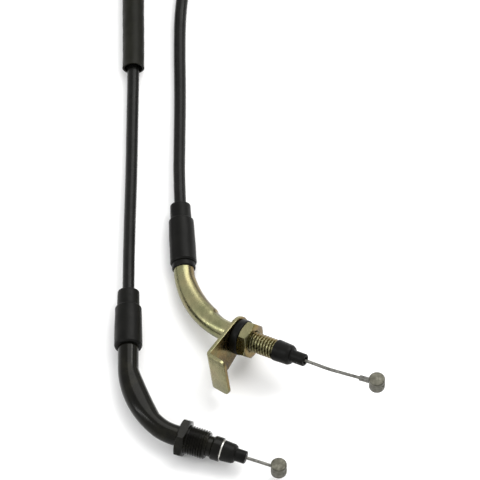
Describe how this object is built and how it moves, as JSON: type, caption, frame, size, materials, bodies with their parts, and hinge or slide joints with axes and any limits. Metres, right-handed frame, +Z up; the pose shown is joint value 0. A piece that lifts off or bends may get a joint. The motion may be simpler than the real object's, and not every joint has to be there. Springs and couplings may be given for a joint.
{
  "type": "motorcycle throttle cable",
  "caption": "Throttle control cable with bent steel end tubes, a threaded union screw, an adjuster with lock nut and stop bracket, rubber boots and barrel-ended inner wire.",
  "frame": {"origin": "centre of the base of the two fittings' bounding box, on the table, without the free casing and its coil", "axes": "+Z up from the table; +Y along the casing away from the fittings, the longest extent; +X towards the free ends of both inner wires"},
  "size_m": [0.1035, 0.3049, 0.0281],
  "materials": {
    "black_steel": "black oxide, satin",
    "yellow_zinc": "yellow chromated zinc, satin",
    "soft_rubber": "moulded, semi-matt",
    "casing_plastic": "extruded, satin",
    "sleeve_plastic": "soft tube, satin",
    "tie_plastic": "satin",
    "liner_plastic": "translucent white",
    "wire_steel": "stranded, satin",
    "nipple_alloy": "die-cast zinc alloy, dull",
    "plated_steel": "plated, satin"
  },
  "bodies": {
    "cable": {"handlebar_elbow_tube": "black_steel", "handlebar_tube_liner": "liner_plastic", "handlebar_core_in_bend": "wire_steel", "handlebar_collar": "black_steel", "handlebar_seat_washer": "plated_steel", "handlebar_dust_cap": "soft_rubber", "handlebar_boot": "soft_rubber", "handlebar_ferrule": "plated_steel", "handlebar_conduit_end": "plated_steel", "carburettor_elbow_tube": "yellow_zinc", "carburettor_tube_liner": "liner_plastic", "carburettor_core_in_bend": "wire_steel", "adjuster_screw": "yellow_zinc", "carburettor_dust_cap": "soft_rubber", "carburettor_boot_lip": "soft_rubber", "carburettor_boot": "soft_rubber", "carburettor_ferrule": "plated_steel", "carburettor_conduit_end": "plated_steel", "cable_coil": "casing_plastic", "cable_ties": "tie_plastic", "handlebar_run": "casing_plastic", "carburettor_run": "casing_plastic", "protective_sleeve": "sleeve_plastic"},
    "handlebar_wire": {"handlebar_inner_wire": "wire_steel", "handlebar_nipple": "nipple_alloy"},
    "carburettor_wire": {"carburettor_inner_wire": "wire_steel", "carburettor_wire_sleeve": "wire_steel", "carburettor_nipple": "nipple_alloy"},
    "union_screw": {"handlebar_union_screw": "black_steel"},
    "spacer": {"rubber_spacer": "soft_rubber"},
    "lock_nut": {"adjuster_lock_nut": "yellow_zinc"},
    "bracket": {"stop_bracket": "yellow_zinc"}
  },
  "joints": [
    {"name": "handlebar_wire_slide", "type": "slide", "parent": "cable", "child": "handlebar_wire", "axis": [0.9394, -0.3428, 0], "range_m": [-0.008, 0.019]},
    {"name": "carburettor_wire_slide", "type": "slide", "parent": "cable", "child": "carburettor_wire", "axis": [0.8408, -0.4884, 0.2334], "range_m": [-0.019, 0.008], "deforming": ["carburettor_inner_wire"]},
    {"name": "union_screw_spin", "type": "hinge", "parent": "cable", "child": "union_screw", "pos_m": [-0.01927, -0.04487, 0.007], "axis": [0.9394, -0.3428, 0], "continuous": true},
    {"name": "lock_nut_travel", "type": "slide", "parent": "cable", "child": "spacer", "axis": [0.8408, -0.4884, 0.2334], "range_m": [0, 0.008]},
    {"name": "lock_nut_spin", "type": "hinge", "parent": "spacer", "child": "lock_nut", "pos_m": [0.0006, -0.00272, 0.0119], "axis": [0.8408, -0.4884, 0.2334], "range_deg": [0, 2300]},
    {"name": "bracket_swivel", "type": "hinge", "parent": "cable", "child": "bracket", "pos_m": [-0.00458, 0.00029, 0.01046], "axis": [0.8408, -0.4884, 0.2334], "range_deg": [-25, 25]}
  ],
  "couplings": [
    {"joint": "carburettor_wire_slide", "follows": "handlebar_wire_slide", "ratio": -1},
    {"joint": "lock_nut_travel", "follows": "lock_nut_spin", "m_per_rad": 0.00019894}
  ]
}
